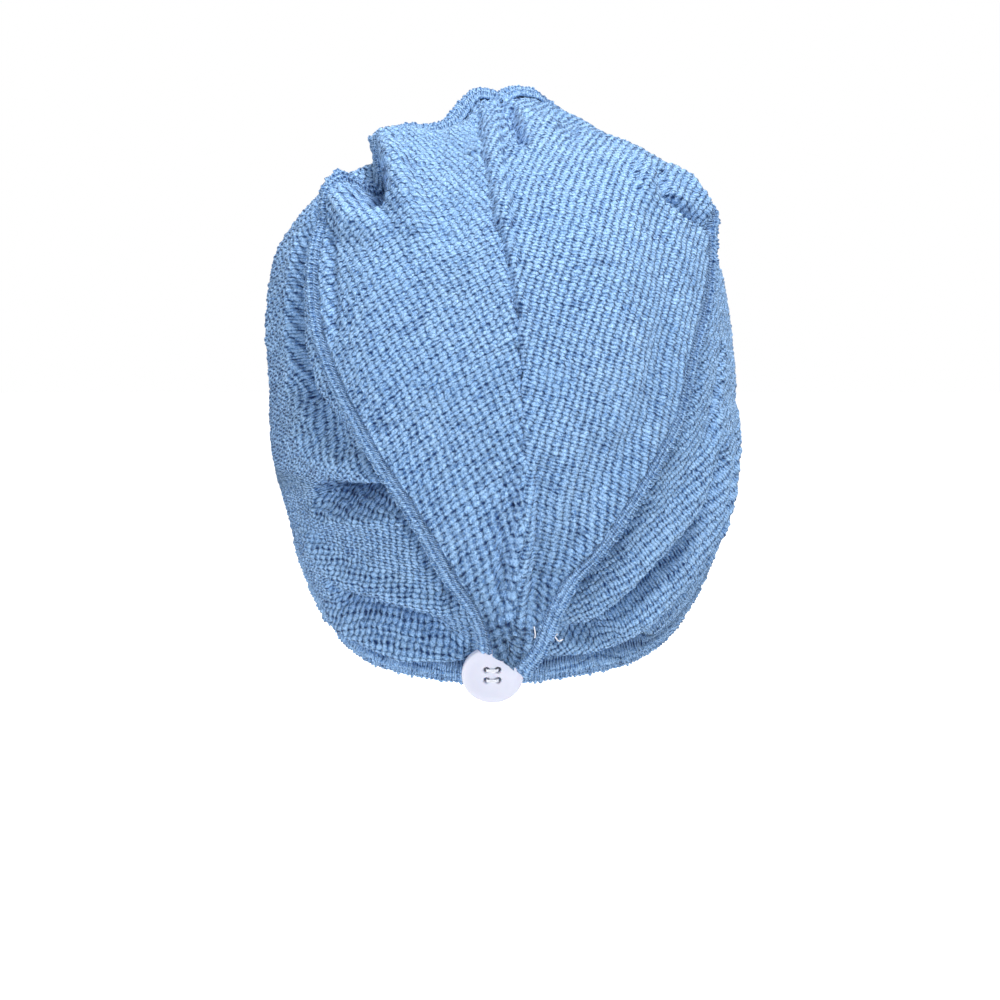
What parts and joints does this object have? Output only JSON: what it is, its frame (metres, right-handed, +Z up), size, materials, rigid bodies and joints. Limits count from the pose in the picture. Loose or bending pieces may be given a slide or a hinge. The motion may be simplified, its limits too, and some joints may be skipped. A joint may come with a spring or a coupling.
{
  "type": "hair turban towel",
  "caption": "Looped microfibre hair turban towel, twisted at the brow, its open tail laid back over the hood and buttoned at the nape.",
  "frame": {"origin": "point inside the hood that rests on the crown of the head", "axes": "+Z up along the head, +Y the way the wearer faces, +X the wearer's right"},
  "size_m": [0.1813, 0.2099, 0.2292],
  "materials": {
    "towel": "looped light blue microfibre",
    "hem": "rolled and overlocked edge of the same cloth",
    "button": "polished white plastic",
    "thread": "white sewing thread and covered elastic"
  },
  "bodies": {
    "root": {"hood_left": "towel", "hood_right": "towel", "brim_left": "hem", "brim_right": "hem", "tail_left": "towel", "tail_right": "towel", "tail_hem_left": "hem", "tail_hem_right": "hem", "front_twist": "towel", "crest_hem": "hem", "button": "button", "button_thread": "thread", "elastic_loop": "thread"}
  },
  "joints": []
}
